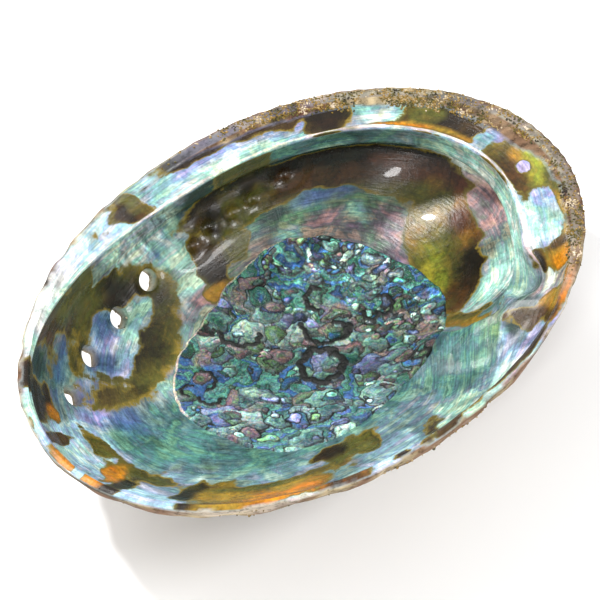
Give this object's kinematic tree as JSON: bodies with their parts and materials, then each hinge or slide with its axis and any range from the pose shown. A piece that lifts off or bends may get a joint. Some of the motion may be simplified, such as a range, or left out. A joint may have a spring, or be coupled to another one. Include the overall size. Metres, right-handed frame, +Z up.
{
  "type": "abalone shell",
  "caption": "Abalone shell lying on its back as a pearly bowl, with a flat shelf along one side, a spire hollow and a row of pores.",
  "frame": {"origin": "on the surface the shell rests on, under the middle of its bounding box", "axes": "+X to the spire end along the long axis, +Y to the shelf and pore side, +Z up out of the open bowl"},
  "size_m": [0.1502, 0.1068, 0.0391],
  "materials": {
    "nacre": "pearly iridescent blue-green nacre, glossy, with brown and gold patches"
  },
  "bodies": {
    "root": {"shell": "nacre"}
  },
  "joints": []
}
